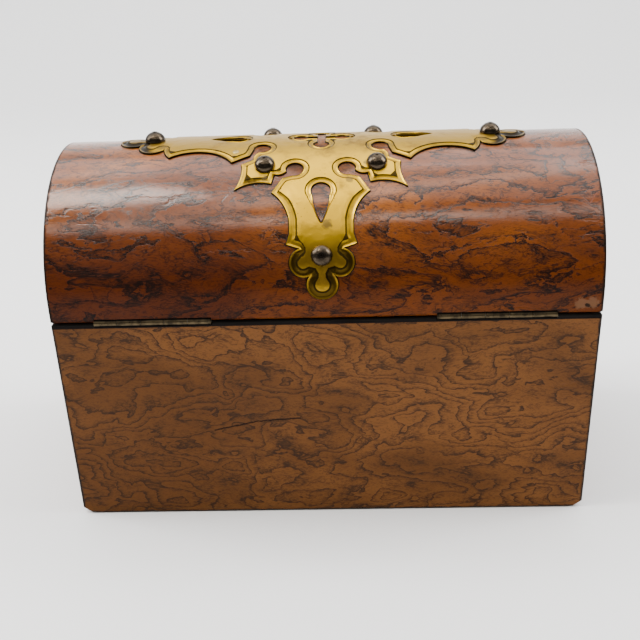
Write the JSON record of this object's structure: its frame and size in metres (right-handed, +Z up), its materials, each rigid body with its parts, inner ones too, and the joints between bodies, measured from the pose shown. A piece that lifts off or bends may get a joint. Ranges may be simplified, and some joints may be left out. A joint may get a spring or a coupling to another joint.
{
  "type": "desk letter box",
  "caption": "Barrel-top wooden desk letter box in burr veneer with a pierced brass mount and domed studs, a hinged lid, a box lock and letter compartments inside.",
  "frame": {"origin": "middle of the underside, on the table", "axes": "+X along the hinge line, +Y towards the hinged back, +Z up"},
  "size_m": [0.236, 0.1182, 0.169],
  "materials": {
    "burr_veneer_lid": "French-polished burr veneer, glossy",
    "burr_veneer_base": "aged French-polished burr veneer, satin",
    "ebonised_wood": "ebonised, satin",
    "ground_wood": "planed softwood, matt",
    "lining_wood": "polished mahogany, satin",
    "lining_paper": "old marbled lining paper, matt",
    "baize": "worn baize, matt",
    "pierced_brass": "aged polished brass with dark bevels",
    "old_brass": "dull aged brass",
    "dark_bronze": "dark patinated domed brass, glossy",
    "steel": "old steel, dull"
  },
  "bodies": {
    "base": {"base_front": "ground_wood", "base_back": "ground_wood", "base_left": "ground_wood", "base_right": "ground_wood", "base_bottom": "ground_wood", "base_baize": "baize", "veneer_front": "burr_veneer_base", "veneer_back": "burr_veneer_base", "veneer_left": "burr_veneer_base", "veneer_right": "burr_veneer_base", "rim_facing": "ebonised_wood", "lining_front": "lining_wood", "lining_back": "lining_wood", "lining_left": "lining_wood", "lining_right": "lining_wood", "floor_paper": "lining_paper", "divider_front": "lining_wood", "divider_middle": "lining_wood", "divider_rear": "lining_wood", "keyhole_plate": "pierced_brass", "keyhole_plate_pins": "old_brass", "lock_case": "old_brass", "lock_cap": "old_brass", "lock_selvage": "old_brass", "lock_spring": "steel", "lock_drill_pin": "steel", "lock_screws": "old_brass", "hinge_left_base_leaf": "old_brass", "hinge_left_pin": "steel", "hinge_right_base_leaf": "old_brass", "hinge_right_pin": "steel", "hinge_base_screws": "old_brass"},
    "lid": {"lid_front_rail": "ground_wood", "lid_back_rail": "ground_wood", "lid_staves": "ground_wood", "lid_left_end": "ground_wood", "lid_right_end": "ground_wood", "lid_dome_veneer": "burr_veneer_lid", "lid_left_veneer": "burr_veneer_base", "lid_right_veneer": "burr_veneer_base", "lid_paper": "lining_paper", "link_plate": "old_brass", "link_screws": "old_brass", "strap_mount": "pierced_brass", "strap_studs": "dark_bronze", "leaf_studs": "dark_bronze", "arm_studs": "dark_bronze", "mount_pin": "old_brass", "hinge_left_lid_leaf": "old_brass", "hinge_right_lid_leaf": "old_brass", "hinge_lid_screws": "old_brass"},
    "bolt": {"lock_bolt": "steel"}
  },
  "joints": [
    {"name": "lid_hinge", "type": "hinge", "parent": "base", "child": "lid", "pos_m": [0, 0.0574, 0.10025], "axis": [-1, 0, 0], "range_deg": [0, 100]},
    {"name": "bolt_slide", "type": "slide", "parent": "base", "child": "bolt", "axis": [1, 0, 0], "range_m": [0, 0.0045]}
  ]
}
